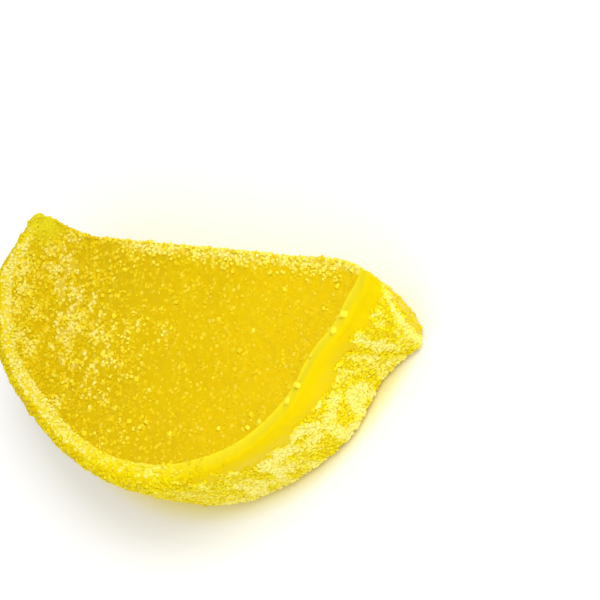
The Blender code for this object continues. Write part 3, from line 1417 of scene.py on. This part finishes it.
print("dressed: 3 layers and 5 kinds of sugar")

# %% [markdown]
# ## The studio
# The sweet lies on white paper. Paper is matt, so it only catches the soft shadow. Close to the
# slice it is tinted by light that has come through the jelly. The jelly here lets no light
# through, so the tint is drawn in the paper's colour, in a half-moon a little larger than the
# slice.

# %% The glow of the jelly on the paper
GLOW_MIDDLE = Vector((-2.5, 10.8, 0.0))
GLOW_FULL_RADIUS = 23.0
GLOW_END_RADIUS = 26.0
GLOW_FULL_Y = 4
GLOW_END_Y = 9


def glow(tree, place):
    """1 round the slice and 0 away from it."""
    from_middle = add_node(
        tree,
        "ShaderNodeVectorMath",
        operation="DISTANCE",
        links={0: place.outputs["Object"]},
        values={1: GLOW_MIDDLE * MM},
    )
    round_side = add_node(
        tree,
        "ShaderNodeMapRange",
        interpolation_type="SMOOTHSTEP",
        links={0: from_middle.outputs["Value"]},
        values={1: GLOW_FULL_RADIUS * MM, 2: GLOW_END_RADIUS * MM, 3: 1.0, 4: 0.0},
    )
    side = add_node(tree, "ShaderNodeSeparateXYZ", links={0: place.outputs["Object"]})
    cut_side = add_node(
        tree,
        "ShaderNodeMapRange",
        interpolation_type="SMOOTHSTEP",
        links={0: side.outputs["Y"]},
        values={1: GLOW_FULL_Y * MM, 2: GLOW_END_Y * MM, 3: 1.0, 4: 0.0},
    )
    return add_node(
        tree,
        "ShaderNodeMath",
        operation="MULTIPLY",
        links={0: round_side.outputs[0], 1: cut_side.outputs[0]},
    )


print("the glow fades over", GLOW_END_RADIUS - GLOW_FULL_RADIUS, "mm")

# %% White paper
# Paper fibres are 0.02 mm, too fine to show, so their flocks are drawn, 0.6 mm wide.
FIBRE_SIZE = 0.6


def white_paper():
    made, tree = start_material("white_paper")
    place = add_node(tree, "ShaderNodeTexCoord")
    fibres = add_node(
        tree,
        "ShaderNodeTexNoise",
        links={"Vector": place.outputs["Object"]},
        values={"Scale": 1 / (FIBRE_SIZE * MM), "Detail": 2.0},
    )
    colour = add_node(
        tree,
        "ShaderNodeMix",
        data_type="RGBA",
        links={"Factor": glow(tree, place).outputs[0]},
        values={MIX_A: linear("#FAFAFA"), MIX_B: linear("#F6ECA0")},
    )
    bumps = add_node(
        tree,
        "ShaderNodeBump",
        links={"Height": fibres.outputs[0]},
        values={"Strength": 0.1, "Distance": 0.05 * MM},
    )
    return finish_material(made, colour.outputs[MIX_COLOUR], bumps, {"Roughness": 0.9})


WHITE_PAPER = white_paper()
print("made", WHITE_PAPER.name)

# %% [markdown]
# The floor is one large square of that paper, too wide for its edges to be seen. It is no part
# of the sweet.

# %% The floor
FLOOR_REACH = 1.5


def make_floor():
    mesh = bmesh.new()
    bmesh.ops.create_grid(mesh, x_segments=1, y_segments=1, size=FLOOR_REACH)
    floor = as_object(mesh, "floor")
    floor.data.materials.append(WHITE_PAPER)


make_floor()
print("floor:", 2 * FLOOR_REACH, "m wide")

# %% [markdown]
# A sweet is photographed in a tent of white cloth: soft light from all round, and one window that
# gives the shadow its side. Here the world is the tent, an area light above the right end is the
# window, and a weaker one fills the wall.

# %% The light
ROOM_STRENGTH = 0.77

world = bpy.data.worlds.new("soft_room")
world.use_nodes = True
room = world.node_tree.nodes["Background"]
room.inputs["Color"].default_value = (1.0, 1.0, 1.0, 1.0)
room.inputs["Strength"].default_value = ROOM_STRENGTH
bpy.context.scene.world = world

# Each is its name, its place and its width in metres, and its power in watts.
LIGHTS = (
    ("window", Vector((0.28, 0.25, 0.42)), 0.30, 1.7),
    ("fill", Vector((0.30, -0.40, 0.22)), 0.40, 0.65),
)
for name, place, size, power in LIGHTS:
    data = bpy.data.lights.new(name, "AREA")
    data.size = size
    data.energy = power
    lamp = bpy.data.objects.new(name, data)
    lamp.location = place
    lamp.rotation_mode = "QUATERNION"
    lamp.rotation_quaternion = place.to_track_quat("Z", "Y")
    bpy.context.scene.collection.objects.link(lamp)
    print(name, "light:", power, "W")

# %% [markdown]
# The camera looks at the face as the picture does. A long lens from a quarter of a metre keeps
# the slice's lines straight. The camera is rolled, because in the picture the slice leans.

# %% The camera
CAMERA_PLACE = Vector((161.5, -16.2, 198.8)) * MM
CAMERA_AIM = Vector((11.6, 7.95, 5.5)) * MM
CAMERA_ROLL = -72.3
CAMERA_LENS = 156.0
NEAREST_SEEN = 0.01

data = bpy.data.cameras.new("camera")
data.lens = CAMERA_LENS
data.clip_start = NEAREST_SEEN
camera = bpy.data.objects.new("camera", data)
camera.location = CAMERA_PLACE
camera.rotation_mode = "QUATERNION"
looking = (CAMERA_PLACE - CAMERA_AIM).to_track_quat("Z", "Y")
camera.rotation_quaternion = looking @ Quaternion((0, 0, 1), math.radians(CAMERA_ROLL))
bpy.context.scene.collection.objects.link(camera)
bpy.context.scene.camera = camera
bpy.context.scene.view_settings.view_transform = "Standard"
print("camera:", round((CAMERA_PLACE - CAMERA_AIM).length / MM), "mm away")
